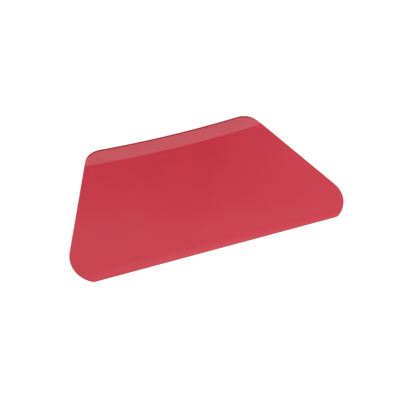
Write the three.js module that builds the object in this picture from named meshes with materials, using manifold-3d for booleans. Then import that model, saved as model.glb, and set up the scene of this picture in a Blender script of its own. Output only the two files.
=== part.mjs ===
// Dough scraper: one thin, moulded, flexible plastic plate of trapezoid outline.
// Units are millimetres, +Z is up. The plate lies flat on its underside, with the long
// scraping edge towards -Y and the short bevelled edge towards +Y.
// The origin is the middle of the underside's bounding rectangle.
import * as THREE from 'three';
import { mergeVertices } from 'three/addons/utils/BufferGeometryUtils.js';
import Module from 'manifold-3d';

// ---------------------------------------------------------------- driving dimensions
const WIDTH = 216; // overall, across the two long-edge corners
const DEPTH = 128; // overall, from the long edge to the crests of the short-edge corners
const THICKNESS = 1.8; // flat middle of the plate

// corners
const NEAR_CORNER_R = 26; // big bowl-scraping corners of the long edge
const EDGE_TRIM = 3.9; // the straight long edge cuts the corner arcs this far before they turn tangent
const TRIM_BLEND_R = 6; // softens the angle where the corner arc meets the straight edge
const FAR_CORNER_R = 14; // small corners of the short edge
const FAR_CENTRES = 121.6; // spacing of the centres of the two small corners
const FAR_HOLLOW = 2.3; // the short edge is hollowed this far below its corner crests

// section through the plate, near edge to far edge
const EDGE_ROUND = 0.3; // rounding all round the rim, top and bottom
const LONG_EDGE_T = 0.95; // plate thickness at the long scraping edge
const ROLL_OFF = 14; // width of the gentle roll-off towards the long edge
const BEVEL_W = 17.25; // width of the bevel along the short edge
const BEVEL_END_T = 0.45; // thickness where the bevel ends
const LAND_W = 1.85; // narrow level land past the bevel, along the thin edge

// facets
const ARC_STEPS = 14; // per corner arc
const BLEND_STEPS = 3; // per blend arc
const HOLLOW_STEPS = 16; // along the hollowed short edge
const ROUND_STEPS = 3; // across the rim's rounding
const ROLL_STEPS = 6; // across the roll-off
const RING_STEPS = 720; // of the full circle that the bevel is a short piece of

const PLASTIC = new THREE.MeshStandardMaterial({ name: 'red_plastic', color: 0xc8404e, roughness: 0.38, metalness: 0 });

// ---------------------------------------------------------------- plan outline
// Everything is worked out in a plan frame with the long edge on y = 0, then moved by -DEPTH / 2.
const nearC = new THREE.Vector2(WIDTH / 2 - NEAR_CORNER_R, NEAR_CORNER_R - EDGE_TRIM);
const farC = new THREE.Vector2(FAR_CENTRES / 2, DEPTH - FAR_CORNER_R);

// direction, from a corner's centre, in which the straight side touches both corner circles
const between = farC.clone().sub(nearC);
const sideAngle = Math.atan2(between.y, between.x) - Math.acos((NEAR_CORNER_R - FAR_CORNER_R) / between.length());

// circle that hollows the short edge, touching both small corners from outside
const hollowR = (farC.x ** 2 + FAR_HOLLOW ** 2) / (2 * FAR_HOLLOW) - FAR_CORNER_R;
const hollowC = new THREE.Vector2(0, DEPTH - FAR_HOLLOW + hollowR);

// small blend circle inside the big corner circle, resting on the straight long edge
const blendC = new THREE.Vector2(
  nearC.x + Math.sqrt((NEAR_CORNER_R - TRIM_BLEND_R) ** 2 - (nearC.y - TRIM_BLEND_R) ** 2),
  TRIM_BLEND_R,
);
const blendAngle = Math.atan2(blendC.y - nearC.y, blendC.x - nearC.x);
const farAngle = Math.atan2(hollowC.y - farC.y, hollowC.x - farC.x);

function arc(centre, radius, from, to, steps) {
  return new THREE.EllipseCurve(centre.x, centre.y, radius, radius, from, to, to < from).getPoints(steps);
}

function outline() {
  const right = [
    ...arc(blendC, TRIM_BLEND_R, -Math.PI / 2, blendAngle, BLEND_STEPS),
    ...arc(nearC, NEAR_CORNER_R, blendAngle, sideAngle, ARC_STEPS),
    ...arc(farC, FAR_CORNER_R, sideAngle, farAngle, ARC_STEPS),
  ];
  // the hollow edge runs from the right small corner to the left one
  const end = right[right.length - 1];
  const swing = Math.atan2(end.y - hollowC.y, end.x - hollowC.x);
  const hollow = arc(hollowC, hollowR, swing, -Math.PI - swing, HOLLOW_STEPS);
  const left = right.map((p) => new THREE.Vector2(-p.x, p.y)).reverse();
  const kept = [];
  for (const p of [...right, ...hollow, ...left]) {
    if (kept.every((q) => q.distanceTo(p) > 1e-3)) kept.push(p);
  }
  return kept.map((p) => new THREE.Vector2(p.x, p.y - DEPTH / 2));
}

// ---------------------------------------------------------------- solids
const wasm = await Module();
wasm.setup();

function solid(geometry) {
  const bare = geometry.index ? geometry.toNonIndexed() : geometry.clone();
  bare.deleteAttribute('normal');
  bare.deleteAttribute('uv');
  const merged = mergeVertices(bare, 1e-5);
  return new wasm.Manifold(new wasm.Mesh({
    numProp: 3,
    vertProperties: Float32Array.from(merged.attributes.position.array),
    triVerts: Uint32Array.from(merged.index.array),
  }));
}

function geometryOf(body) {
  const mesh = body.getMesh();
  const geometry = new THREE.BufferGeometry();
  geometry.setAttribute('position', new THREE.BufferAttribute(Float32Array.from(mesh.vertProperties), 3));
  geometry.setIndex(new THREE.BufferAttribute(Uint32Array.from(mesh.triVerts), 1));
  geometry.computeVertexNormals();
  return geometry;
}

// blank: the outline at full thickness, its rim rounded top and bottom
function blank() {
  const geometry = new THREE.ExtrudeGeometry(new THREE.Shape(outline()), {
    depth: THICKNESS - 2 * EDGE_ROUND,
    steps: 1,
    bevelEnabled: true,
    bevelThickness: EDGE_ROUND,
    bevelSize: EDGE_ROUND,
    bevelOffset: -EDGE_ROUND,
    bevelSegments: ROUND_STEPS,
  });
  geometry.translate(0, 0, EDGE_ROUND);
  return solid(geometry);
}

// cutter for the bevel and the land: a ring about the hollow's centre, so that both keep one
// width all along the hollowed edge
function bevelRing() {
  const over = 0.5;
  const slope = (THICKNESS - BEVEL_END_T) / (BEVEL_W - LAND_W);
  const section = [
    new THREE.Vector2(hollowR - over, BEVEL_END_T),
    new THREE.Vector2(hollowR + LAND_W, BEVEL_END_T),
    new THREE.Vector2(hollowR + BEVEL_W + over, THICKNESS + over * slope),
    new THREE.Vector2(hollowR + BEVEL_W + over, THICKNESS + 2),
    new THREE.Vector2(hollowR - over, THICKNESS + 2),
  ];
  const ring = new THREE.LatheGeometry([...section, section[0].clone()], RING_STEPS);
  ring.rotateX(Math.PI / 2);
  ring.translate(hollowC.x, hollowC.y - DEPTH / 2, 0);
  return solid(ring);
}

// cutter for the roll-off: a straight prism along X above a parabola that leaves the flat tangent
function rollOffPrism() {
  const over = 2;
  const drop = THICKNESS - LONG_EDGE_T;
  const height = (y) => THICKNESS - drop * (1 - y / ROLL_OFF) ** 2;
  const last = ROLL_OFF / ROLL_STEPS;
  const firstSlope = (height(last) - height(0)) / last;
  const endSlope = (height(ROLL_OFF) - height(ROLL_OFF - last)) / last;
  const section = [new THREE.Vector2(-over, height(0) - over * firstSlope)];
  for (let i = 1; i < ROLL_STEPS; i += 1) section.push(new THREE.Vector2(i * last, height(i * last)));
  section.push(new THREE.Vector2(ROLL_OFF + over, THICKNESS + over * endSlope));
  section.push(new THREE.Vector2(ROLL_OFF + over, THICKNESS + 2));
  section.push(new THREE.Vector2(-over, THICKNESS + 2));
  const prism = new THREE.ExtrudeGeometry(new THREE.Shape(section), { depth: WIDTH + 40, steps: 1, bevelEnabled: false });
  prism.translate(0, 0, -(WIDTH + 40) / 2);
  // section x -> +Y, section y -> +Z, sweep -> +X
  prism.applyMatrix4(new THREE.Matrix4().set(0, 0, 1, 0, 1, 0, 0, -DEPTH / 2, 0, 1, 0, 0, 0, 0, 0, 1));
  return solid(prism);
}

// ---------------------------------------------------------------- the one piece
const plate = new THREE.Mesh(geometryOf(blank().subtract(bevelRing()).subtract(rollOffPrism())), PLASTIC);
plate.name = 'scraper_plate';

const scraper = new THREE.Group();
scraper.name = 'dough_scraper';
scraper.add(plate);

export default scraper;
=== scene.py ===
"""Dough scraper: a one-piece moulded plastic plate, lying on a pale floor under soft studio light."""

import math

import bpy
import numpy as np
from mathutils import Matrix, Vector


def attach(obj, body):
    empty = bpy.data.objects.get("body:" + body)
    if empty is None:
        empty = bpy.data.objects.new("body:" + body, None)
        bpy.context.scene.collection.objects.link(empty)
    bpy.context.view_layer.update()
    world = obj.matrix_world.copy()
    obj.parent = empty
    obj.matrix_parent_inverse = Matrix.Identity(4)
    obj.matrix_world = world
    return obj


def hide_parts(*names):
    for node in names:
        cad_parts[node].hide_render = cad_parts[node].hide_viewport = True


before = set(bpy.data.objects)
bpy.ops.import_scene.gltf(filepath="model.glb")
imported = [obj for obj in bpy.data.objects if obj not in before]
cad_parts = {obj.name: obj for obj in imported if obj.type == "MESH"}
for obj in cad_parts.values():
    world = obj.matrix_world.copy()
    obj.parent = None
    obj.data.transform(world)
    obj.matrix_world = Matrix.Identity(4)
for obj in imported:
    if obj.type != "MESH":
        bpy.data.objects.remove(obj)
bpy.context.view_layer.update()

MM = 0.001

# ------------------------------------------------------------------ plan of the plate, millimetres
# The plan frame has the long edge on y = 0; the row frame is DEPTH / 2 lower.
WIDTH, DEPTH, THICK = 216.0, 128.0, 1.8
NEAR_R, TRIM, BLEND_R = 26.0, 3.9, 6.0
FAR_R, FAR_CENTRES, HOLLOW = 14.0, 121.6, 2.3

near_c = np.array([WIDTH / 2 - NEAR_R, NEAR_R - TRIM])
far_c = np.array([FAR_CENTRES / 2, DEPTH - FAR_R])
between = far_c - near_c
side_a = math.atan2(between[1], between[0]) - math.acos((NEAR_R - FAR_R) / math.hypot(*between))
hollow_r = (far_c[0] ** 2 + HOLLOW**2) / (2 * HOLLOW) - FAR_R
hollow_c = np.array([0.0, DEPTH - HOLLOW + hollow_r])
blend_c = np.array([near_c[0] + math.sqrt((NEAR_R - BLEND_R) ** 2 - (near_c[1] - BLEND_R) ** 2), BLEND_R])
blend_a = math.atan2(blend_c[1] - near_c[1], blend_c[0] - near_c[0])
far_a = math.atan2(hollow_c[1] - far_c[1], hollow_c[0] - far_c[0])

# ------------------------------------------------------------------ section, millimetres
EDGE_T, ROLL_OFF = 0.95, 14.0  # thickness at the long edge, width of the roll-off to it
BEVEL_W, BEVEL_END_T, LAND_W = 17.25, 0.45, 1.85  # bevel, and the level land between it and the short edge
BEVEL_SLOPE = (THICK - BEVEL_END_T) / (BEVEL_W - LAND_W)
CREASE = 0.04  # how softly the bevel meets the flat

# rim: width and depth of its top rounding, radius of its bottom rounding, width of the land inside the
# rounding, how level that land is (0 follows the face, 1 is level), how much painted shade darkens the rim, and
# how much of the long edge's separate painted shade it has
RIM_NEAR = (0.14, 0.14, 0.25, 0.10, 0.0, 1.0, 1.0)
RIM_SIDE = (0.30, 0.30, 0.30, 0.30, 0.0, 0.5, 0.0)
RIM_FAR = (0.12, 0.12, 0.15, 1.73, 1.0, 1.0, 0.0)
NEAR_INSET, FAR_INSET = RIM_NEAR[0] + RIM_NEAR[3], RIM_FAR[0] + RIM_FAR[3]


def smooth(t):
    t = np.clip(t, 0.0, 1.0)
    return t * t * (3 - 2 * t)


def inset_from_hollow(x, y):
    return np.hypot(x - hollow_c[0], y - hollow_c[1]) - hollow_r


def top_height(x, y):
    """height of the upper face over a point of the plan"""
    flat = THICK - (THICK - EDGE_T) * np.clip(1 - y / ROLL_OFF, 0, None) ** 2
    bevel = BEVEL_END_T + BEVEL_SLOPE * (inset_from_hollow(x, y) - LAND_W)
    h = np.clip(CREASE - np.abs(flat - bevel), 0, None) / CREASE
    return np.minimum(flat, bevel) - h * h * CREASE / 4


# ------------------------------------------------------------------ right-hand side of the outline
def arc(c, r, a0, a1, n):
    t = np.linspace(a0, a1, n)
    u = np.stack([np.cos(t), np.sin(t)], 1)
    return c + r * u, u, t


def side_chain():
    """points, outward normals and rim sizes from the end of the long edge to the start of the hollow"""
    n = np.array([math.cos(side_a), math.sin(side_a)])
    t = np.linspace(0, 1, 900)[:, None]
    straight = (near_c + NEAR_R * n) * (1 - t) + (far_c + FAR_R * n) * t
    runs = [
        arc(blend_c, BLEND_R, -math.pi / 2, blend_a, 700),
        arc(near_c, NEAR_R, blend_a, side_a, 1800),
        (straight, np.repeat(n[None], len(t), 0), np.full(len(t), side_a)),
        arc(far_c, FAR_R, side_a, far_a, 1800),
    ]
    p = np.concatenate([r[0][(k > 0):] for k, r in enumerate(runs)])
    u = np.concatenate([r[1][(k > 0):] for k, r in enumerate(runs)])
    a = np.concatenate([r[2][(k > 0):] for k, r in enumerate(runs)])
    near_w = smooth((math.radians(-15) - a) / math.radians(45))[:, None]
    far_w = smooth(2.4 * (a - side_a) / (far_a - side_a))[:, None]
    near, mid, far = np.array(RIM_NEAR), np.array(RIM_SIDE), np.array(RIM_FAR)
    rim = mid + (near - mid) * near_w + (far - mid) * far_w
    return p, u, rim


def row_height(x, yc):
    """a row of the grid: straight near the long edge, concentric with the hollow near the short one"""
    r = hollow_c[1] - yc
    return yc + smooth((yc - 30) / 70) * (r - np.sqrt(r * r - x * x))


near_rows = NEAR_INSET + np.array([0, 0.03, 0.09, 0.18, 0.32, 0.5, 0.75, 1.05, 1.4, 1.8, 2.3, 2.9, 3.6, 4.4, 5.3, 6.3, 7.4, 8.6, 9.9, 11.2, 12.5, 13.7])
far_line = DEPTH - HOLLOW
crease_rows = far_line - BEVEL_W + np.array([-3.0, -1.9, -1.2, -0.75, -0.45, -0.22, 0, 0.22, 0.45, 0.75, 1.2, 1.9, 3.0])
lip_rows = far_line - FAR_INSET - np.array([3.4, 2.6, 1.95, 1.45, 1.05, 0.75, 0.5, 0.31, 0.17, 0.08, 0.03, 0])
middle_rows = np.linspace(near_rows[-1], crease_rows[0], 54)[1:-1]
bevel_rows = np.linspace(crease_rows[-1], lip_rows[0], 10)[1:-1]
rows = np.concatenate([near_rows, middle_rows, crease_rows, bevel_rows, lip_rows])

EDGE_STEPS = np.array([0, 0.2, 0.55, 1.2, 2.4, 4.4])
INNER = 60


def build_plate():
    chain_p, chain_u, chain_rim = side_chain()
    bound = chain_p - chain_u * (chain_rim[:, 0] + chain_rim[:, 3])[:, None]
    X, Y, ends = [], [], []
    for k, yc in enumerate(rows):
        f = bound[:, 1] - row_height(bound[:, 0], yc)
        if k == 0:
            i, t = 0, 0.0
        elif k == len(rows) - 1:
            i, t = len(bound) - 2, 1.0
        else:
            i = int(np.argmax(f >= 0)) - 1
            t = f[i] / (f[i] - f[i + 1])
        mix = lambda a: a[i] * (1 - t) + a[i + 1] * t
        p, u, rim = mix(chain_p), mix(chain_u), mix(chain_rim)
        u = u / math.hypot(*u)
        ends.append((p, u, rim))
        xe = (p - u * (rim[0] + rim[3]))[0]
        inner = np.linspace(-(xe - EDGE_STEPS[-1]), xe - EDGE_STEPS[-1], INNER)
        x = np.concatenate([-xe + EDGE_STEPS[:-1], inner, (xe - EDGE_STEPS[:-1])[::-1]])
        X.append(x)
        Y.append(row_height(x, yc))
    X, Y = np.array(X), np.array(Y)
    nv, nu = X.shape
    Z = top_height(X, Y)
    index = np.arange(nv * nu).reshape(nv, nu)

    # the loop round the top grid, counter-clockwise from its near left corner
    flip = np.array([-1.0, 1.0])
    loop, lp, lu, lr = [], [], [], []
    for i in range(nu):  # long edge
        loop.append(index[0, i])
        lp.append((X[0, i], 0.0)), lu.append((0.0, -1.0)), lr.append(RIM_NEAR)
    for j in range(1, nv):  # right side
        loop.append(index[j, -1])
        lp.append(ends[j][0]), lu.append(ends[j][1]), lr.append(ends[j][2])
    for i in range(nu - 2, -1, -1):  # short edge
        loop.append(index[-1, i])
        q = np.array([X[-1, i], Y[-1, i]])
        u = (hollow_c - q) / math.hypot(*(hollow_c - q))
        lp.append(q + u * FAR_INSET), lu.append(u), lr.append(RIM_FAR)
    for j in range(nv - 2, 0, -1):  # left side
        loop.append(index[j, 0])
        lp.append(ends[j][0] * flip), lu.append(ends[j][1] * flip), lr.append(ends[j][2])
    loop, lp, lu, lr = np.array(loop), np.array(lp, float), np.array(lu, float), np.array(lr, float)
    ins, drop, bot, land, level, tone, long_edge_shade = lr.T
    zt = Z.ravel()[loop]
    out_p = lp - lu * (ins + land - 0.02)[:, None]
    fall = (zt - top_height(out_p[:, 0], out_p[:, 1])) / 0.02 * (1 - level)  # outward slope that the rim carries on

    verts = [np.stack([X.ravel(), Y.ravel(), Z.ravel()], 1)]
    loops = [loop]
    rim_shades, long_edge_shades = [np.zeros(nv * nu)], [np.zeros(nv * nu)]
    count = nv * nu

    def add_loop(inset, z):
        nonlocal count
        # the rim loops carry the painted shade of the rim and of the long edge
        rim_shades.append(tone)
        long_edge_shades.append(long_edge_shade)
        q = lp - lu * inset[:, None]
        verts.append(np.column_stack([q, z]))
        loops.append(np.arange(count, count + len(loop)))
        count += len(loop)

    for k in range(1, 6):
        add_loop(ins + land * (1 - k / 5), zt - fall * land * k / 5)
    for k in range(1, 9):
        a = math.pi / 2 * k / 8
        add_loop(ins * (1 - math.sin(a)), zt - fall * (land + ins * math.sin(a)) - drop * (1 - math.cos(a)))
    wall = zt - fall * (land + ins) - drop
    bot = np.minimum(bot, wall - 0.03)
    for k in (0.5, 1.0):
        add_loop(np.zeros(len(loop)), wall + (bot - wall) * k)
    for k in range(1, 5):
        a = math.pi / 2 * k / 4
        add_loop(bot * (1 - math.cos(a)), bot * (1 - math.sin(a)))

    # underside grid, closed onto the last loop
    under = np.full((nv, nu), -1)
    under.ravel()[loop] = loops[-1]
    inside = np.zeros((nv, nu), bool)
    inside[1:-1, 1:-1] = True
    verts.append(np.stack([X[inside], Y[inside], np.zeros(inside.sum())], 1))
    under[inside] = np.arange(count, count + inside.sum())
    rim_shades.append(np.zeros(inside.sum()))
    long_edge_shades.append(np.zeros(inside.sum()))

    co = np.concatenate(verts)
    co[:, 1] -= DEPTH / 2
    faces = []
    for grid, up in ((index, True), (under, False)):
        a, b, c, d = grid[:-1, :-1], grid[:-1, 1:], grid[1:, 1:], grid[1:, :-1]
        quad = np.stack([a, b, c, d] if up else [a, d, c, b], -1).reshape(-1, 4)
        faces.append(quad)
    for upper, lower in zip(loops[:-1], loops[1:]):
        faces.append(np.stack([upper, lower, np.roll(lower, -1), np.roll(upper, -1)], 1))
    faces = np.concatenate(faces)

    mesh = bpy.data.meshes.new("scraper_body")
    mesh.from_pydata((co * MM).tolist(), [], faces.tolist())
    mesh.polygons.foreach_set("use_smooth", [True] * len(mesh.polygons))
    mesh.validate()
    mesh.update()

    # how close a point is to the rim, for the wear and the painted highlight along it
    q = chain_p - [0, DEPTH / 2]
    outline = np.concatenate([q, q * flip, np.column_stack([np.linspace(-94, 94, 400), np.full(400, -DEPTH / 2)])])
    t = np.linspace(-0.09, 0.09, 500)
    outline = np.concatenate([outline, np.column_stack([hollow_r * np.sin(t), hollow_c[1] - DEPTH / 2 - hollow_r * np.cos(t)])])
    near = np.array([np.hypot(*(outline - v[:2]).T).min() for v in co])
    edge = mesh.attributes.new("edge", "FLOAT", "POINT")
    edge.data.foreach_set("value", (1 - smooth(near / 1.6)).astype(np.float32))
    e = inset_from_hollow(co[:, 0], co[:, 1] + DEPTH / 2)
    thin = np.clip((BEVEL_W - e) / (BEVEL_W - LAND_W), 0, 1)
    # the strip along the long edge that carries a painted highlight
    strip = smooth(1 - (co[:, 1] + DEPTH / 2) / 6)
    tones = {"rim_painted_shade": np.concatenate(rim_shades), "long_edge_painted_shade": np.concatenate(long_edge_shades), "thin": thin, "strip": strip}
    for name, values in tones.items():
        tone_of = mesh.attributes.new(name, "FLOAT", "POINT")
        tone_of.data.foreach_set("value", values.astype(np.float32))

    body = bpy.data.objects.new("scraper_body", mesh)
    bpy.context.scene.collection.objects.link(body)
    return body


# ------------------------------------------------------------------ satin moulded plastic
RED = (0.376, 0.0112, 0.0285)
# painted shade: darkens the rim, at half strength on the sides
RIM_PAINTED_SHADE = (0.262, 0.0013, 0.0083)
# painted shade: darkens the rim of the long edge, which faces the light
LONG_EDGE_PAINTED_SHADE = (0.255, 0.0015, 0.0085)
THIN_TONE = (0.352, 0.0108, 0.0270)
# pale colour that the wear, the scuff and the painted highlights on the rim and on the long edge's strip mix toward
WORN_AND_HIGHLIGHT = (0.56, 0.10, 0.13)
ROUGH = 0.14
SCUFF = (0.0803, -0.0028, 0.0018)  # a small rubbed spot


def node(tree, kind, **inputs):
    n = tree.nodes.new(kind)
    for k, v in inputs.items():
        n.inputs[k.replace("_", " ")].default_value = v
    return n


def plastic():
    mat = bpy.data.materials.new("plate_plastic")
    mat.use_nodes = True
    tree = mat.node_tree
    tree.nodes.clear()
    link = tree.links.new
    out = tree.nodes.new("ShaderNodeOutputMaterial")
    bsdf = node(tree, "ShaderNodeBsdfPrincipled", IOR=1.49)
    link(bsdf.outputs["BSDF"], out.inputs["Surface"])
    coord = tree.nodes.new("ShaderNodeTexCoord")

    def noise(scale, detail, stretch=None, turn=0.0):
        n = node(tree, "ShaderNodeTexNoise", Scale=scale, Detail=detail, Roughness=0.55)
        vector = coord.outputs["Object"]
        if stretch:
            m = node(tree, "ShaderNodeMapping", Scale=stretch, Rotation=(0.0, 0.0, turn))
            m.vector_type = "TEXTURE"  # turned first, then stretched
            link(vector, m.inputs["Vector"])
            vector = m.outputs["Vector"]
        # tilted, so that the cells of the noise don't line up with the plate
        tilt = node(tree, "ShaderNodeMapping", Rotation=(0.5, 0.4, 0.6), Location=(0.31, 0.17, 0.23))
        link(vector, tilt.inputs["Vector"])
        link(tilt.outputs["Vector"], n.inputs["Vector"])
        return n.outputs["Fac"]

    def remap(value, a, b, c, d):
        m = node(tree, "ShaderNodeMapRange", From_Min=a, From_Max=b, To_Min=c, To_Max=d)
        link(value, m.inputs["Value"])
        return m.outputs["Result"]

    def math_node(op, a, b):
        m = tree.nodes.new("ShaderNodeMath")
        m.operation = op
        for k, v in enumerate((a, b)):
            if isinstance(v, (int, float)):
                m.inputs[k].default_value = v
            else:
                link(v, m.inputs[k])
        return m.outputs[0]

    def attribute(name):
        n = tree.nodes.new("ShaderNodeAttribute")
        n.attribute_name = name
        return n.outputs["Fac"]

    def mix(base, tint, factor):
        m = tree.nodes.new("ShaderNodeMix")
        m.data_type = "RGBA"
        sockets = [k for k in m.inputs if k.type == "RGBA"]
        link(base, sockets[0])
        sockets[1].default_value = (*tint, 1)
        link(factor, m.inputs[0])
        return [k for k in m.outputs if k.type == "RGBA"][0]

    # colour: broad flow marks of the moulding, a tone that deepens as the bevel thins, painted shade on the rim and a
    # separate painted shade on the long edge's rim, a lightening along the rim that is partly wear and partly painted
    # highlight, a painted highlight on the strip along the long edge, and a scuff
    ramp = tree.nodes.new("ShaderNodeValToRGB")
    for k, (position, gain) in enumerate(((0.34, 0.975), (0.66, 1.025))):
        ramp.color_ramp.elements[k].position = position
        ramp.color_ramp.elements[k].color = (*(c * gain for c in RED), 1)
    streaks = math_node("MULTIPLY", noise(70.0, 3.0, (4.0, 1.0, 1.0)), 0.4)
    link(math_node("ADD", math_node("MULTIPLY", noise(26.0, 3.0), 0.6), streaks), ramp.inputs["Fac"])
    colour = mix(ramp.outputs["Color"], THIN_TONE, attribute("thin"))
    # painted shade darkens the rim
    colour = mix(colour, RIM_PAINTED_SHADE, attribute("rim_painted_shade"))
    # a separate painted shade darkens the long edge's rim
    colour = mix(colour, LONG_EDGE_PAINTED_SHADE, attribute("long_edge_painted_shade"))
    # the rim is lightened in patches: partly wear, partly a painted highlight on the edge
    wear_and_highlight = math_node("MULTIPLY", attribute("edge"), remap(noise(420.0, 3.0), 0.45, 0.70, 0.0, 0.08))
    # painted highlight: the strip along the long edge is lightened a little, in patches
    painted_strip_highlight = math_node("MULTIPLY", attribute("strip"), remap(noise(90.0, 3.0), 0.35, 0.65, 0.030, 0.070))
    wear_and_highlight = math_node("ADD", wear_and_highlight, painted_strip_highlight)
    place = tree.nodes.new("ShaderNodeVectorMath")
    place.operation = "DISTANCE"
    place.inputs[1].default_value = SCUFF
    link(coord.outputs["Object"], place.inputs[0])
    scuff = remap(place.outputs["Value"], 0.0004, 0.0026, 1.0, 0.0)
    wear_and_highlight = math_node("ADD", wear_and_highlight, math_node("MULTIPLY", scuff, remap(noise(1500.0, 2.0), 0.35, 0.65, 0.004, 0.024)))
    colour = mix(colour, WORN_AND_HIGHLIGHT, wear_and_highlight)
    link(colour, bsdf.inputs["Base Color"])

    # gloss: satin, with soft patches, and hair-fine use marks in a few directions, more of them in some places
    patches = remap(noise(60.0, 4.0), 0.35, 0.65, ROUGH - 0.012, ROUGH + 0.012)
    hairs = 0.0
    for scale, turn, length in ((2000.0, 0.08, 60.0), (2300.0, 0.57, 45.0), (2200.0, -0.42, 50.0), (2500.0, 1.25, 35.0)):
        hair = remap(noise(scale, 1.0, (length, 1.0, 1.0), turn), 0.64, 0.74, 0.0, 1.0)
        hairs = math_node("MAXIMUM", hairs, hair)
    hairs = math_node("MULTIPLY", hairs, remap(noise(38.0, 2.0), 0.38, 0.62, 0.2, 1.0))
    rough = math_node("ADD", patches, math_node("MULTIPLY", hairs, 0.09))
    rough = math_node("ADD", rough, math_node("MULTIPLY", attribute("edge"), 0.04))
    rough = math_node("ADD", rough, math_node("MULTIPLY", scuff, 0.04))
    link(rough, bsdf.inputs["Roughness"])

    # fine moulded grain over a faint waviness of the sheet
    wave = node(tree, "ShaderNodeBump", Strength=1.0, Distance=0.00002)
    link(noise(110.0, 2.0), wave.inputs["Height"])
    grain = node(tree, "ShaderNodeBump", Strength=1.0, Distance=0.00001)
    link(math_node("SUBTRACT", noise(2600.0, 2.0), math_node("MULTIPLY", hairs, 0.15)), grain.inputs["Height"])
    link(wave.outputs["Normal"], grain.inputs["Normal"])
    link(grain.outputs["Normal"], bsdf.inputs["Normal"])
    return mat


body = build_plate()
body.data.materials.append(plastic())
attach(body, "root")
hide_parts("scraper_plate")


# ------------------------------------------------------------------ floor
def floor():
    mesh = bpy.data.meshes.new("floor")
    s, z = 4.0, -0.00002
    mesh.from_pydata([(-s, -s, z), (s, -s, z), (s, s, z), (-s, s, z)], [], [(0, 1, 2, 3)])
    mat = bpy.data.materials.new("floor")
    mat.use_nodes = True
    tree = mat.node_tree
    bsdf = tree.nodes["Principled BSDF"]
    bsdf.inputs["Base Color"].default_value = (0.38, 0.38, 0.38, 1)
    bsdf.inputs["Roughness"].default_value = 0.9
    bsdf.inputs["Specular IOR Level"].default_value = 0.0
    # a translucent sweep, lit from below, the more so away from the object, so that it runs out into the pale surroundings
    coord = tree.nodes.new("ShaderNodeTexCoord")
    length = tree.nodes.new("ShaderNodeVectorMath")
    length.operation = "LENGTH"
    tree.links.new(coord.outputs["Object"], length.inputs[0])
    glow = node(tree, "ShaderNodeMapRange", From_Min=0.4, From_Max=1.5, To_Min=0.67, To_Max=1.0)
    glow.interpolation_type = "SMOOTHSTEP"
    tree.links.new(length.outputs["Value"], glow.inputs["Value"])
    tree.links.new(glow.outputs["Result"], bsdf.inputs["Emission Strength"])
    bsdf.inputs["Emission Color"].default_value = (1, 1, 1, 1)
    mesh.materials.append(mat)
    obj = bpy.data.objects.new("floor", mesh)
    bpy.context.scene.collection.objects.link(obj)


floor()


# ------------------------------------------------------------------ light
def area(name, power, size, place, target=(0, 0, 0)):
    light = bpy.data.lights.new(name, "AREA")
    light.energy = power
    light.shape = "RECTANGLE"
    light.size, light.size_y = size
    obj = bpy.data.objects.new(name, light)
    obj.location = place
    obj.rotation_mode = "QUATERNION"
    obj.rotation_quaternion = (Vector(target) - Vector(place)).to_track_quat("-Z", "Y")
    obj.visible_camera = False
    bpy.context.scene.collection.objects.link(obj)
    return obj


def around(azimuth, elevation, distance):
    """azimuth 0 is in front (-Y), 90 to the right (+X)"""
    a, e = math.radians(azimuth), math.radians(elevation)
    return (distance * math.cos(e) * math.sin(a), -distance * math.cos(e) * math.cos(a), distance * math.sin(e))


def radiance(level, size):
    """power in watts of a rectangle that shines at this level"""
    return level * math.pi * size[0] * size[1]


def softbox(name, level, size, place):
    area(name, radiance(level, size), size, place)


softbox("key", 4.2, (2.4, 1.2), around(31, 49, 1.6))
softbox("top_panel", 0.674, (2.0, 0.5), around(163, 60, 1.6))
softbox("right_card", 0.165, (0.45, 0.6), around(147, 46, 1.6))
softbox("edge_card", 0.27, (0.3, 0.3), around(145, 42, 1.6))
softbox("left_card", 0.075, (0.45, 0.6), around(183, 50, 1.6))

world = bpy.data.worlds.new("studio")
world.use_nodes = True
bpy.context.scene.world = world
tree = world.node_tree
background = tree.nodes["Background"]
coord = tree.nodes.new("ShaderNodeTexCoord")
split = tree.nodes.new("ShaderNodeSeparateXYZ")
ramp = tree.nodes.new("ShaderNodeValToRGB")
# level of the surroundings by the sine of the elevation: pale horizon, bright strip, dim ceiling with two soft strips
stops = [(0.0, 1.05), (0.22, 1.05), (0.29, 0.45), (0.45, 0.45), (0.525, 0.55), (0.56, 1.98), (0.605, 1.98), (0.635, 0.25), (0.695, 0.25), (0.735, 0.56), (0.77, 0.56), (0.80, 0.23), (0.83, 0.23), (0.865, 0.38), (0.90, 0.94), (0.935, 0.94), (0.97, 0.25)]
TOP_LEVEL = 2.2
ramp.color_ramp.interpolation = "EASE"
while len(ramp.color_ramp.elements) < len(stops):
    ramp.color_ramp.elements.new(0.5)
for el, (pos, level) in zip(ramp.color_ramp.elements, stops):
    el.position = pos
for el, (pos, level) in zip(ramp.color_ramp.elements, stops):
    el.color = (level / TOP_LEVEL, level / TOP_LEVEL, level / TOP_LEVEL, 1)
background.inputs["Strength"].default_value = TOP_LEVEL
tree.links.new(coord.outputs["Generated"], split.inputs["Vector"])
tree.links.new(split.outputs["Z"], ramp.inputs["Fac"])
tree.links.new(ramp.outputs["Color"], background.inputs["Color"])

# ------------------------------------------------------------------ camera
cam = bpy.data.cameras.new("camera")
cam.sensor_width = 36.0
cam.lens = 78.24185
cam.clip_start, cam.clip_end = 0.01, 50.0
eye = bpy.data.objects.new("camera", cam)
right = (0.950466, -0.310546, -0.013264)
up = (0.243703, 0.718038, 0.651943)
back = (-0.192935, -0.622882, 0.758152)
place = (-0.129351, -0.435976, 0.51365)
eye.matrix_world = Matrix([[right[k], up[k], back[k], place[k]] for k in range(3)] + [[0, 0, 0, 1]])
bpy.context.scene.collection.objects.link(eye)
bpy.context.scene.camera = eye
bpy.context.scene.view_settings.view_transform = "Standard"

bpy.context.view_layer.update()
